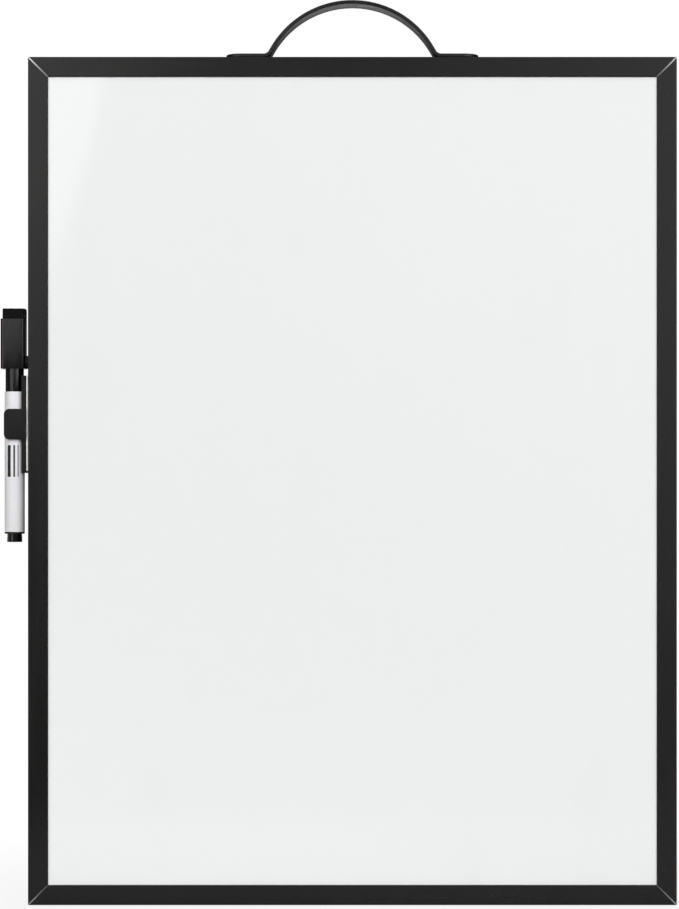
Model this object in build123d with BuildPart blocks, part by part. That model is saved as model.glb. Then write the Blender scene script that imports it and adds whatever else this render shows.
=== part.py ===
"""A small framed dry-erase board with a strap handle and a capped marker in a clip on its side.

X runs to the right as the front is looked at, Y to the back and Z up. The origin is the middle of
the bottom edge that the board stands on, half way through its depth. All sizes are millimetres.
"""

import math
import os

from build123d import *

# Board frame
board_width = 306.0
board_height = 400.0
board_depth = 15.0
rail_face = 9.5  # width of a rail as seen from the front
rail_wall = 1.2
rail_lip = 0.8  # the groove's lips are thinner than the walls
rail_web = 1.0  # wall between the key channel and the panel groove
groove_depth = 3.3  # how far the panel reaches under the rail's lips
rail_round = 0.5
mitre_bevel = 0.3  # saw-cut ends are broken by this much, which leaves a fine V along each mitre

# Panel
sheet_thickness = 0.3
panel_clearance = 0.1  # to the lips of the groove, on each face
panel_edge_clearance = 0.3  # to the bottom of the groove, all round

# Corner keys and their screws
key_arm = 34.0
key_clearance = 0.1
key_tip_chamfer = 1.2
corner_screw_inset = 16.0  # from the outside corner, along each rail
corner_screw_length = 8.0
corner_screw_radius = 0.95
corner_head_radius = 1.85

# Strap handle, bent from one flat strip
handle_width = 14.0
handle_thickness = 1.7
handle_length = 119.4
arch_radius = 44.5  # outside of the strap
arch_rise = 26.9  # top of the strap above the frame
foot_radius = 3.0  # inside of the bend between pad and arch
strap_edge = 0.35
handle_screw_radius = 1.45
handle_head_radius = 2.9
handle_screw_length = 6.0
nut_plate_length = 14.0
nut_plate_thickness = 2.6
screw_clearance = 0.1  # radial, round every shank and head

# Marker clip on the left side of the frame
clip_height = 226.8  # middle of the clip above the floor
tape_thickness = 1.1
plate_thickness = 2.2
plate_height = 46.0
plate_width = 10.4
plate_lip = 1.0
arm_height = 14.5
arm_reach = 8.2  # from the back of the plate to the free ends
arm_wall = 1.5
arm_round = 2.6
mouth_grip = 0.5  # the mouth is narrower than the barrel by twice this
mouth_lead = 0.5
barrel_clearance = 0.1

# Marker
marker_offset = 7.1  # axis to the side of the frame
marker_drop = 55.7  # lower end below the middle of the clip
barrel_radius = 4.75
barrel_wall = 0.8
barrel_length = 66.4
plug_length = 3.9
plug_radius = 3.45
plug_flare = 0.15
flange_thickness = 0.9
spigot_length = 6.0
press_clearance = 0.05
neck_radius = 4.33
neck_exposed = 10.8
neck_covered = 8.0
shoulder_length = 3.0
nose_radius = 2.4
nose_length = 4.5
nib_radius = 1.25
nib_out = 3.0
nib_tail = 12.0  # below the neck's seat on the barrel
tail_overlap = 5.0  # of the nib in the reservoir
reservoir_clearance = 0.3

# Cap
cap_width = 11.5
cap_depth = 11.5
cap_height = 23.7
cap_shift = 0.45  # the cap's wall is thicker on the side away from the frame
cap_round = 1.4
cap_top = 1.8
running_clearance = 0.05
cap_bore_length = 11.3
seal_radius = 3.25
seal_top = 1.5
boss_radius = 3.1
boss_gap = 0.3  # to the side of the frame
magnet_radius = 2.3
magnet_thickness = 1.7
felt_size = 10.6
felt_height = 4.8
felt_round = 0.9
stud_radius = 1.5
stud_height = 2.6

# Worked out from the sizes above
channel_depth = board_depth - 2 * rail_wall
panel_gap = board_depth - 2 * rail_lip
panel_thickness = panel_gap - 2 * panel_clearance
channel_width = rail_face - rail_wall - rail_web - groove_depth
groove_floor = rail_wall + channel_width + rail_web
panel_width = board_width - 2 * (groove_floor + panel_edge_clearance)
panel_height = board_height - 2 * (groove_floor + panel_edge_clearance)
mid_height = board_height / 2
channel_centre = rail_wall + channel_width / 2
screw_radius_open = corner_screw_radius + screw_clearance
head_radius_open = corner_head_radius + screw_clearance
bend_radius = arch_radius + foot_radius
bend_height = arch_radius - arch_rise + handle_thickness + foot_radius
pad_start = math.sqrt(bend_radius**2 - bend_height**2)  # where the strap's bend meets its flat pad
handle_screw_x = (pad_start + handle_length / 2) / 2
side_x = -board_width / 2
marker_x = side_x - marker_offset

os.makedirs("parts", exist_ok=True)


def save(shape, name):
    """Label a finished piece and write it under its own name."""
    shape.label = name
    export_step(shape, f"parts/{name}.step")


# ---------------------------------------------------------------- frame rails
# In each rail's plane, x runs from the outside edge inwards, y to the back and z along the rail.
rails = {
    "top_rail": (Plane((0, 0, board_height), x_dir=(0, 0, -1), z_dir=(1, 0, 0)), board_width),
    "bottom_rail": (Plane((0, 0, 0), x_dir=(0, 0, 1), z_dir=(-1, 0, 0)), board_width),
    "left_rail": (Plane((side_x, 0, mid_height), x_dir=(1, 0, 0), z_dir=(0, 0, 1)), board_height),
    "right_rail": (Plane((-side_x, 0, mid_height), x_dir=(-1, 0, 0), z_dir=(0, 0, -1)), board_height),
}


def is_mitre_edge(edge, plane):
    """Whether an edge of a rail's envelope slants along its mitre or stands at its outside corner."""
    along = abs(edge.tangent_at(0).dot(plane.z_dir))
    at_tip = abs(plane.to_local_coords(edge.center()).X) < rail_round
    return 0.5 < along < 0.9 or (along < 0.5 and at_tip)


for name, (plane, length) in rails.items():
    reach = length / 2
    inner = reach - rail_face
    with BuildPart() as envelope:
        with BuildSketch(Plane(plane.origin, x_dir=plane.z_dir, z_dir=(0, 1, 0))):
            with BuildLine():
                Polyline((-reach, 0), (reach, 0), (inner, rail_face), (-inner, rail_face), close=True)
            make_face()
        extrude(amount=board_depth / 2, both=True)
        chamfer(envelope.edges().filter_by(lambda edge: is_mitre_edge(edge, plane)), mitre_bevel)
    with BuildPart() as rail:
        with BuildSketch(plane):
            profile = Rectangle(rail_face, board_depth, align=(Align.MIN, Align.CENTER))
            fillet(profile.vertices(), rail_round)
            with Locations((channel_centre, 0)):
                Rectangle(channel_width, channel_depth, mode=Mode.SUBTRACT)
            with Locations((groove_floor, 0)):
                Rectangle(2 * groove_depth, panel_gap, align=(Align.MIN, Align.CENTER), mode=Mode.SUBTRACT)
        extrude(amount=reach, both=True)
        add(envelope.part, mode=Mode.INTERSECT)
        # Countersunk holes in the back wall for the two corner screws
        back = Plane(plane.origin + (0, board_depth / 2, 0), x_dir=plane.z_dir, z_dir=(0, 1, 0))
        screw_at = reach - corner_screw_inset
        with Locations(*[back * Location((along, channel_centre)) for along in (-screw_at, screw_at)]):
            CounterSinkHole(screw_radius_open, head_radius_open, depth=rail_wall, counter_sink_angle=90)
        if name == "top_rail":
            with Locations(*[(x, 0, board_height) for x in (-handle_screw_x, handle_screw_x)]):
                Hole(handle_screw_radius + screw_clearance, depth=rail_wall)
    save(rail.part, name)

# ------------------------------------------------------------ panel sandwich
core_half = panel_thickness / 2 - sheet_thickness
layers = {
    "front_writing_sheet": (core_half, sheet_thickness),
    "panel_core": (-core_half, 2 * core_half),
    "back_writing_sheet": (-panel_thickness / 2, sheet_thickness),
}
for name, (start, thickness) in layers.items():
    with BuildPart() as layer:
        with BuildSketch(Plane.XZ.offset(start)):
            with Locations((0, mid_height)):
                Rectangle(panel_width, panel_height)
        extrude(amount=thickness)
    save(layer.part, name)

# -------------------------------------------------- corner keys and screws
key_start = rail_wall + key_clearance
key_thickness = channel_width - 2 * key_clearance
key_depth = channel_depth - 2 * key_clearance
corners = {
    "top_left": (-1, 1),
    "top_right": (1, 1),
    "bottom_left": (-1, -1),
    "bottom_right": (1, -1),
}


def corner_plane(side, level):
    """A plane at a corner whose x and y run along the two rails, and whose z is the front or back."""
    origin = (side * board_width / 2, 0, mid_height * (1 + level))
    return Plane(origin, x_dir=(-side, 0, 0), z_dir=(0, -side * level, 0))


def screw_places(side, level, y):
    """Where a corner's two screws pass this depth, one in each rail."""
    corner_x, corner_z = side * board_width / 2, mid_height * (1 + level)
    insets = ((corner_screw_inset, channel_centre), (channel_centre, corner_screw_inset))
    return [(corner_x - side * across, y, corner_z - level * up) for across, up in insets]


side_ends = {-1: -1, 1: 0}  # the group of edges furthest from each side's corner
for corner, (side, level) in corners.items():
    with BuildPart() as key:
        with BuildSketch(corner_plane(side, level)):
            with Locations((key_start, key_start)):
                Rectangle(key_arm, key_thickness, align=(Align.MIN, Align.MIN))
                Rectangle(key_thickness, key_arm, align=(Align.MIN, Align.MIN))
        extrude(amount=key_depth / 2, both=True)
        cross_edges = key.edges().filter_by(Axis.Y)
        tips = cross_edges.group_by(Axis.X)[side_ends[side]] + cross_edges.group_by(Axis.Z)[side_ends[level]]
        chamfer(tips, key_tip_chamfer)
        bores = screw_places(side, level, key_depth / 2)
        with Locations(*[Plane(bore, z_dir=(0, 1, 0)).location for bore in bores]):
            Hole(corner_screw_radius + press_clearance, depth=corner_screw_length)
    save(key.part, f"corner_key_{corner}")


def screw_profile(head_radius, shank_radius, length):
    """Half the outline of a countersunk screw: its head at the top, its axis on y, its tip down."""
    cone = head_radius - shank_radius
    tip = shank_radius * 0.8
    Polyline(
        (0, 0),
        (head_radius, 0),
        (shank_radius, -cone),
        (shank_radius, tip - length),
        (0, -length),
        close=True,
    )


def cross_recess(head_radius):
    """The two slots of a cross drive, drawn on the head."""
    Rectangle(1.1 * head_radius, 0.25 * head_radius)
    Rectangle(0.25 * head_radius, 1.1 * head_radius)


with BuildPart() as corner_screws:
    for side, level in corners.values():
        for head in screw_places(side, level, board_depth / 2):
            with BuildSketch(Plane(head)):
                with BuildLine():
                    screw_profile(corner_head_radius, corner_screw_radius, corner_screw_length)
                make_face()
            revolve(axis=Axis(head, (0, 1, 0)))
            with BuildSketch(Plane(head, x_dir=(1, 0, 0), z_dir=(0, 1, 0))):
                cross_recess(corner_head_radius)
            extrude(amount=-corner_head_radius * 0.3, mode=Mode.SUBTRACT)
save(corner_screws.part, "corner_screws")

# --------------------------------------------------------------- carry handle
arch_centre = Vector(0, board_height + arch_rise - arch_radius)


def strap_side(offset):
    """One long side of the strap's outline, at this distance from its upper face, left to right."""
    pad = board_height + handle_thickness - offset
    bend = foot_radius + offset
    radius = arch_radius - offset
    left = Vector(-pad_start, board_height + handle_thickness + foot_radius)
    towards = (arch_centre - left).normalized()
    meets = left + towards * bend
    halfway = (Vector(0, -1) + towards).normalized()
    bend_middle = left + halfway * bend
    Line((-handle_length / 2, pad), (-pad_start, pad))
    ThreePointArc((-pad_start, pad), bend_middle, meets)
    ThreePointArc(meets, arch_centre + Vector(0, radius), (-meets.X, meets.Y))
    ThreePointArc((-meets.X, meets.Y), (-bend_middle.X, bend_middle.Y), (pad_start, pad))
    Line((pad_start, pad), (handle_length / 2, pad))


with BuildPart() as handle:
    with BuildSketch(Plane.XZ):
        with BuildLine():
            strap_side(0)
            strap_side(handle_thickness)
            for end in (-handle_length / 2, handle_length / 2):
                Line((end, board_height), (end, board_height + handle_thickness))
        make_face()
    extrude(amount=handle_width / 2, both=True)
    with BuildSketch(Plane.XY.offset(board_height)):
        SlotOverall(handle_length, handle_width)
    extrude(amount=arch_rise + handle_thickness, mode=Mode.INTERSECT)
    long_edges = handle.edges().filter_by(Axis.Y, reverse=True)
    fillet(long_edges, strap_edge)
    with Locations(*[(x, 0, board_height + handle_thickness) for x in (-handle_screw_x, handle_screw_x)]):
        CounterSinkHole(
            handle_screw_radius + screw_clearance,
            handle_head_radius + screw_clearance,
            depth=handle_thickness,
            counter_sink_angle=90,
        )
save(handle.part, "handle")

with BuildPart() as handle_screws:
    for x in (-handle_screw_x, handle_screw_x):
        head = (x, 0, board_height + handle_thickness)
        with BuildSketch(Plane(head, x_dir=(1, 0, 0), z_dir=(0, -1, 0))):
            with BuildLine():
                screw_profile(handle_head_radius, handle_screw_radius, handle_screw_length)
            make_face()
        revolve(axis=Axis(head, (0, 0, 1)))
        with BuildSketch(Plane(head)):
            cross_recess(handle_head_radius)
        extrude(amount=-handle_head_radius * 0.3, mode=Mode.SUBTRACT)
save(handle_screws.part, "handle_screws")

with BuildPart() as nut_plates:
    with BuildSketch(Plane.XY.offset(board_height - rail_wall)):
        with Locations((-handle_screw_x, 0), (handle_screw_x, 0)):
            Rectangle(nut_plate_length, key_depth)
            Circle(handle_screw_radius + press_clearance, mode=Mode.SUBTRACT)
    extrude(amount=-nut_plate_thickness)
save(nut_plates.part, "handle_nut_plates")

# --------------------------------------------------------------- marker clip
plate_x = side_x - tape_thickness
plate_bottom = clip_height - plate_height / 2
lip_gap = 0.1
with BuildPart() as marker_holder:
    with BuildSketch(Plane.XY.offset(plate_bottom)):
        with Locations((plate_x, 0)):
            Rectangle(plate_thickness, plate_width, align=(Align.MAX, Align.CENTER))
    extrude(amount=plate_height)
    with BuildSketch(Plane.XY.offset(clip_height)):
        with Locations((plate_x, 0)):
            arm_span = 2 * (barrel_radius + barrel_clearance + arm_wall)
            Rectangle(plate_thickness + arm_reach, arm_span, align=(Align.MAX, Align.CENTER))
    extrude(amount=arm_height / 2, both=True)
    free_ends = marker_holder.edges().filter_by(Axis.Y).group_by(Axis.X)[0]
    fillet(free_ends, arm_round)
    # The bore that the barrel lies in, and the snap mouth that opens away from the frame
    with BuildSketch(Plane.XY.offset(plate_bottom)):
        with Locations((marker_x, 0)):
            Circle(barrel_radius + barrel_clearance)
            mouth = barrel_radius - mouth_grip
            free_end = plate_x - plate_thickness - arm_reach - marker_x
            with BuildLine():
                Polyline(
                    (0, mouth),
                    (free_end + mouth_lead, mouth),
                    (free_end - mouth_lead, mouth + 2 * mouth_lead),
                    (free_end - mouth_lead, -mouth - 2 * mouth_lead),
                    (free_end + mouth_lead, -mouth),
                    (0, -mouth),
                    close=True,
                )
            make_face()
    extrude(amount=plate_height, mode=Mode.SUBTRACT)
    # The lip under the tape
    with BuildSketch(Plane.XY.offset(plate_bottom)):
        with Locations((side_x - lip_gap, 0)):
            Rectangle(tape_thickness - lip_gap, plate_width, align=(Align.MAX, Align.CENTER))
    extrude(amount=plate_lip)
save(marker_holder.part, "marker_holder")

with BuildPart() as foam_tape:
    with BuildSketch(Plane.XY.offset(plate_bottom + plate_lip)):
        with Locations((side_x, 0)):
            Rectangle(tape_thickness, plate_width, align=(Align.MAX, Align.CENTER))
    extrude(amount=plate_height - plate_lip)
save(foam_tape.part, "holder_foam_tape")

# --------------------------------------------------------------- marker
marker_bottom = clip_height - marker_drop
flange_z = marker_bottom + plug_length
barrel_z = flange_z + flange_thickness
neck_z = barrel_z + barrel_length
shoulder_z = neck_z + neck_exposed + neck_covered
nose_z = shoulder_z + shoulder_length
nose_top = nose_z + nose_length
cap_z = neck_z + neck_exposed
barrel_bore = barrel_radius - barrel_wall
spigot_radius = barrel_bore - press_clearance
marker_plane = Plane((marker_x, 0, 0), x_dir=(1, 0, 0), z_dir=(0, -1, 0))
marker_axis = Axis((marker_x, 0, 0), (0, 0, 1))


with BuildPart() as barrel:
    with BuildSketch(Plane((marker_x, 0, barrel_z))):
        Circle(barrel_radius)
        Circle(barrel_bore, mode=Mode.SUBTRACT)
    extrude(amount=barrel_length)
save(barrel.part, "marker_barrel")

plug_hollow = 0.65 * plug_radius
with BuildPart() as end_plug:
    with BuildSketch(marker_plane):
        with BuildLine():
            Polyline(
                (0, marker_bottom + plug_length - 1),
                (plug_hollow, marker_bottom + plug_length - 1),
                (plug_hollow, marker_bottom),
                (plug_radius + plug_flare, marker_bottom),
                (plug_radius, flange_z),
                (barrel_radius, flange_z),
                (barrel_radius, barrel_z),
                (spigot_radius, barrel_z),
                (spigot_radius, barrel_z + spigot_length),
                (0, barrel_z + spigot_length),
                close=True,
            )
        make_face()
    revolve(axis=marker_axis)
save(end_plug.part, "marker_end_plug")

nib_bore = nib_radius + press_clearance
with BuildPart() as neck:
    with BuildSketch(marker_plane):
        with BuildLine():
            Polyline(
                (nib_bore, neck_z - spigot_length),
                (spigot_radius, neck_z - spigot_length),
                (spigot_radius, neck_z),
                (neck_radius, neck_z),
                (neck_radius, shoulder_z),
                (nose_radius, nose_z),
                (nose_radius, nose_top),
                (nib_bore, nose_top),
                close=True,
            )
        make_face()
    revolve(axis=marker_axis)
save(neck.part, "marker_neck")

nib_bottom = neck_z - nib_tail
nib_top = nose_top + nib_out
with BuildPart() as nib:
    with BuildSketch(marker_plane):
        with BuildLine():
            Polyline((0, nib_top), (0, nib_bottom), (nib_radius, nib_bottom), (nib_radius, nib_top - nib_radius))
            RadiusArc((nib_radius, nib_top - nib_radius), (0, nib_top), -nib_radius)
        make_face()
    revolve(axis=marker_axis)
save(nib.part, "marker_nib")

reservoir_bottom = barrel_z + spigot_length
reservoir_top = nib_bottom + tail_overlap
with BuildPart() as reservoir:
    with BuildSketch(Plane((marker_x, 0, reservoir_bottom))):
        Circle(barrel_bore - reservoir_clearance)
    extrude(amount=reservoir_top - reservoir_bottom)
    with Locations((marker_x, 0, reservoir_top)):
        Hole(nib_bore, depth=tail_overlap)
save(reservoir.part, "ink_reservoir")

# --------------------------------------------------------------- cap
cap_x = marker_x - cap_shift
cap_side = cap_x + cap_width / 2
boss_z = cap_z + boss_radius
boss_face = side_x - boss_gap
seal_z = cap_z + cap_bore_length
seal_end = cap_z + cap_height - cap_top
with BuildPart() as cap:
    with BuildSketch(Plane.XY.offset(cap_z)):
        with Locations((cap_x, 0)):
            RectangleRounded(cap_width, cap_depth, cap_round)
    extrude(amount=cap_height)
    # Round boss that the magnet is pressed into, on the side that faces the frame
    with BuildSketch(Plane((cap_side - cap_round, 0, boss_z), z_dir=(1, 0, 0))):
        Circle(boss_radius)
    extrude(amount=boss_face - cap_side + cap_round)
    with BuildSketch(Plane((boss_face, 0, boss_z), z_dir=(1, 0, 0))):
        Circle(magnet_radius + press_clearance)
    extrude(amount=-magnet_thickness, mode=Mode.SUBTRACT)
    with BuildSketch(Plane((marker_x, 0, cap_z))):
        Circle(neck_radius + running_clearance)
    extrude(amount=cap_bore_length, mode=Mode.SUBTRACT)
    with BuildSketch(Plane((marker_x, 0, seal_z))):
        Circle(seal_radius + press_clearance)
    extrude(amount=seal_end - seal_z, mode=Mode.SUBTRACT)
    # Stud that the eraser felt is pushed onto
    with BuildSketch(Plane((marker_x, 0, cap_z + cap_height))):
        Circle(stud_radius)
    extrude(amount=stud_height)
save(cap.part, "marker_cap")

with BuildPart() as cap_seal:
    with BuildSketch(Plane((marker_x, 0, seal_z))):
        Circle(seal_radius)
    extrude(amount=seal_end - seal_z)
    with BuildSketch(Plane((marker_x, 0, seal_z))):
        Circle(nose_radius + running_clearance)
    extrude(amount=seal_end - seal_z - seal_top, mode=Mode.SUBTRACT)
save(cap_seal.part, "cap_seal")

with BuildPart() as magnet:
    with BuildSketch(Plane((boss_face, 0, boss_z), z_dir=(1, 0, 0))):
        Circle(magnet_radius)
    extrude(amount=-magnet_thickness)
save(magnet.part, "cap_magnet")

with BuildPart() as felt:
    with BuildSketch(Plane((marker_x, 0, cap_z + cap_height))):
        RectangleRounded(felt_size, felt_size, felt_round)
    extrude(amount=felt_height)
    with BuildSketch(Plane((marker_x, 0, cap_z + cap_height))):
        Circle(stud_radius + press_clearance)
    extrude(amount=stud_height + press_clearance, mode=Mode.SUBTRACT)
save(felt.part, "eraser_felt")
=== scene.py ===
"""The finished look of a small framed dry-erase board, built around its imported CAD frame.

The board has a mitred metal frame, a strap handle on its top edge and a capped marker in a clip on
its left side. The file is laid out as an add-on and is run as a script. Every piece is made where
it belongs, in metres: X to the right as the front is looked at, Y to the back and Z up.
"""

import math
import random

import bmesh
import bpy
from bpy.props import FloatProperty, FloatVectorProperty, PointerProperty
from mathutils import Matrix, Vector, noise


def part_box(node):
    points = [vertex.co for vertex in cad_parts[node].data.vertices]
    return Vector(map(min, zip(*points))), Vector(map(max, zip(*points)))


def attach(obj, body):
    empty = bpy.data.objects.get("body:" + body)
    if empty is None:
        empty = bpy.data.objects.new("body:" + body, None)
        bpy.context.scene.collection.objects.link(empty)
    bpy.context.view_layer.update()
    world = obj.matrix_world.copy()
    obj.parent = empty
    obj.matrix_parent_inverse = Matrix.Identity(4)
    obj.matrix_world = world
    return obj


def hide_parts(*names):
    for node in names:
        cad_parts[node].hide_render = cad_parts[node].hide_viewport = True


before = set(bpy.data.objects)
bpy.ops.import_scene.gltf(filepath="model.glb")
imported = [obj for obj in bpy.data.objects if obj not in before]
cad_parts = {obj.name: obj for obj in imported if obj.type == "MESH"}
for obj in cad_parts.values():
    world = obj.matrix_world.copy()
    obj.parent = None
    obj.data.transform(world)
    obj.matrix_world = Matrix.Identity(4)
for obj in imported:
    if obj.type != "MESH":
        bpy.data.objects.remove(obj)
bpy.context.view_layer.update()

bl_info = {
    "name": "Framed dry-erase board",
    "version": (1, 0, 0),
    "blender": (4, 5, 0),
    "location": "3D View > Sidebar > Board",
    "description": "Builds a framed dry-erase board with its handle, marker and clip",
    "category": "Object",
}

MM = 0.001


# ------------------------------------------------------------------ settings
def linear(level):
    """A colour channel written from 0 to 255, as the light that it stands for."""
    value = level / 255
    return value / 12.92 if value <= 0.04045 else ((value + 0.055) / 1.055) ** 2.4


def size(name, description, millimetres):
    """A length that the panel shows in the scene's unit."""
    return FloatProperty(
        name=name, description=description, default=millimetres * MM, unit="LENGTH", precision=5
    )


def tint(name, description, *levels):
    """A colour given as red, green and blue from 0 to 255."""
    default = [linear(level) for level in levels]
    return FloatVectorProperty(
        name=name, description=description, default=default, min=0, max=1, size=3, subtype="COLOR"
    )


def share(name, description, default):
    """A number from 0 to 1."""
    return FloatProperty(
        name=name, description=description, default=default, min=0, max=1, subtype="FACTOR"
    )


class RailSettings(bpy.types.PropertyGroup):
    """The coated rails of the frame"""

    coat: tint("Coat", "Satin black coat on the rails", 11, 10, 9)
    bare_metal: tint("Bare metal", "Aluminium where the mitres were sawn", 226, 227, 230)
    roughness: share("Roughness", "How matt the coat is", 0.25)
    line_width: size("Die line width", "Spacing of the fine lines left by the extrusion die", 0.35)
    speck: size("Speck", "Size of the dust specks in the coat", 0.5)


class PanelSettings(bpy.types.PropertyGroup):
    """The lacquered sheets and what they are glued to"""

    sheet: tint("Lacquer", "White lacquer of the writing sheets", 238, 240, 239)
    ghost: tint("Ghost", "Faint grey that rubbed-out strokes leave", 231, 233, 233)
    core: tint("Core", "Honeycomb board between the sheets", 186, 158, 120)
    roughness: share("Roughness", "How soft the lacquer's reflections are", 0.06)
    undulation: size("Undulation", "How far the thin sheet strays from flat", 0.012)
    ripple: size("Ripple", "Distance between the sheet's shallow waves", 110)


class HandleSettings(bpy.types.PropertyGroup):
    """The bent strap and its screws"""

    coat: tint("Coat", "Black paint on the strap", 4, 4, 4)
    screw: tint("Screw", "Blackened steel of the screws", 40, 40, 42)
    roughness: share("Roughness", "How matt the paint is", 0.38)
    thickness: size("Thickness", "Thickness of the strap", 1.7)
    arch_radius: size("Arch radius", "Outside radius of the arch", 44.5)
    bend_radius: size("Bend radius", "Inside radius of the bend between pad and arch", 3.0)
    edge: size("Edge", "Rounding of the strap's edges", 0.35)
    screw_head: size("Screw head", "Radius of a handle screw's head", 2.9)
    screw_shank: size("Screw shank", "Radius of a handle screw's shank", 1.45)
    clearance: size("Clearance", "Gap round a screw in its hole", 0.1)


class CornerSettings(bpy.types.PropertyGroup):
    """The screws and keys that hold the mitres together"""

    key: tint("Key", "Moulded nylon of the corner keys", 46, 46, 48)
    steel: tint("Steel", "Zinc-plated steel", 176, 178, 182)
    inset: size("Inset", "Distance of a screw from the outside corner, along the rail", 16)
    head: size("Head", "Radius of a corner screw's head", 1.85)
    shank: size("Shank", "Radius of a corner screw's shank", 0.95)
    length: size("Length", "Length of a corner screw", 8)


class ClipSettings(bpy.types.PropertyGroup):
    """The moulded clip and the tape that holds it to the frame"""

    plastic: tint("Plastic", "Black plastic of the clip", 17, 17, 17)
    tape: tint("Tape", "White foam of the double-sided tape", 244, 244, 242)
    roughness: share("Roughness", "How matt the plastic is", 0.5)
    plate: size("Plate", "Thickness of the back plate", 2.2)
    arm_height: size("Arm height", "Height of the two arms", 14.5)
    arm_round: size("Arm round", "Rounding of the arms' free corners, seen from the front", 2.6)
    bore: size("Bore", "Radius of the bore that the barrel lies in", 4.85)
    mouth: size("Mouth", "Half the width of the mouth that the marker snaps through", 4.25)
    mouth_lead: size("Mouth lead", "Flare at the entrance of the mouth", 0.5)
    edge: size("Edge", "Rounding of the moulded edges", 0.25)


class MarkerSettings(bpy.types.PropertyGroup):
    """The marker without its cap"""

    barrel: tint("Barrel", "White plastic of the barrel", 232, 232, 236)
    black: tint("Black", "Glossy black plastic of the neck and the plug", 6, 6, 6)
    ink: tint("Ink", "Ink-soaked fibre of the nib", 20, 20, 24)
    print_ink: tint("Print", "Ink of the stroke-width mark on the barrel", 16, 16, 18)
    roughness: share("Roughness", "How matt the barrel is", 0.32)
    wall: size("Wall", "Wall of the barrel", 0.8)
    flange: size("Flange", "Thickness of the plug's flange", 0.9)
    plug_radius: size("Plug radius", "Radius of the plug below its flange", 3.45)
    plug_hollow: size("Plug hollow", "Radius of the hollow in the plug's end", 2.24)
    spigot: size("Spigot", "How far the plug and the neck reach into the barrel", 6)
    neck_radius: size("Neck radius", "Radius of the neck", 4.33)
    neck_length: size("Neck length", "Length of the neck below its shoulder", 18.8)
    shoulder: size("Shoulder", "Height of the cone above the neck", 3)
    nose_radius: size("Nose radius", "Radius of the nose that holds the nib", 2.4)
    nib_radius: size("Nib radius", "Radius of the fibre nib", 1.25)
    mark_top: size("Mark top", "Top of the printed mark, below the clip's arms", 2.6)
    mark_length: size("Mark length", "Length of the printed strokes", 15)


class CapSettings(bpy.types.PropertyGroup):
    """The cap and the eraser on its top"""

    plastic: tint("Plastic", "Black plastic of the cap", 8, 8, 9)
    felt: tint("Felt", "Black wool felt of the eraser", 9, 9, 10)
    magnet: tint("Magnet", "Nickel plating of the magnet", 196, 194, 188)
    seal: tint("Seal", "Soft grey cup inside the cap", 120, 120, 122)
    roughness: share("Roughness", "How matt the cap is", 0.26)
    corner: size("Corner", "Rounding of the cap's upright edges", 1.3)
    edge: size("Edge", "Rounding of the cap's ends", 0.3)
    crown: size("Crown", "How far each side swells in its middle", 0.06)
    bore_length: size("Bore length", "Depth of the bore that the neck goes into", 11.3)
    chamber: size("Chamber", "Radius of the seal's chamber", 3.3)
    top: size("Top", "Thickness of the cap's top", 1.8)
    boss: size("Boss", "Radius of the boss that holds the magnet", 3.1)
    stud: size("Stud", "Radius of the stud under the eraser", 1.5)
    stud_height: size("Stud height", "Height of the stud under the eraser", 2.6)
    felt_round: size("Felt round", "Rounding of the eraser's upright edges", 0.9)
    nap: size("Nap", "Depth of the felt's uneven surface", 0.13)


class StageSettings(bpy.types.PropertyGroup):
    """The camera, the lamps and the floor"""

    distance: size("Distance", "From the camera to the front of the frame", 1300)
    camera_height: size("Camera height", "Height of the camera above the floor", 200)
    focal_length: FloatProperty(
        name="Focal length",
        description="Focal length of the camera's lens",
        default=109.215,
        unit="CAMERA",
    )
    shift: FloatVectorProperty(
        name="Shift",
        description="Sideways and upward shift of the camera's lens",
        default=(-0.0142, 0.02915),
        size=2,
        precision=5,
    )
    floor: tint("Floor", "Pale floor", 204, 204, 204)
    ambient: FloatProperty(
        name="Ambient", description="Brightness of the dim room round the lamps", default=0.06
    )
    scrim: share("Scrim", "Brightness of the large scrim's soft glow", 0.95)
    scrim_side: FloatVectorProperty(
        name="Scrim side",
        description="Direction in which the middle of the scrim is seen from the board",
        default=(0.22, -1.0, 0.13),
        size=3,
        subtype="DIRECTION",
    )
    scrim_reach: FloatProperty(
        name="Scrim reach",
        description="Angle from its middle at which the glow has died away",
        default=0.36,
        unit="ROTATION",
    )
    backdrop: share("Backdrop", "Brightness of the backdrop in reflections", 0.1)
    sweep: share("Sweep", "Brightness of the far floor in reflections", 0.5)
    floor_front: size("Floor front", "How far the floor reaches in front of the board", 330)
    floor_reach: size("Floor reach", "How far the floor reaches to the sides and the back", 2800)


SETTINGS = {
    "rail": RailSettings,
    "panel": PanelSettings,
    "handle": HandleSettings,
    "corner": CornerSettings,
    "clip": ClipSettings,
    "marker": MarkerSettings,
    "cap": CapSettings,
    "stage": StageSettings,
}


class BoardSettings(bpy.types.PropertyGroup):
    """All sizes and colours of the board"""

    rail: PointerProperty(type=RailSettings)
    panel: PointerProperty(type=PanelSettings)
    handle: PointerProperty(type=HandleSettings)
    corner: PointerProperty(type=CornerSettings)
    clip: PointerProperty(type=ClipSettings)
    marker: PointerProperty(type=MarkerSettings)
    cap: PointerProperty(type=CapSettings)
    stage: PointerProperty(type=StageSettings)


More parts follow.
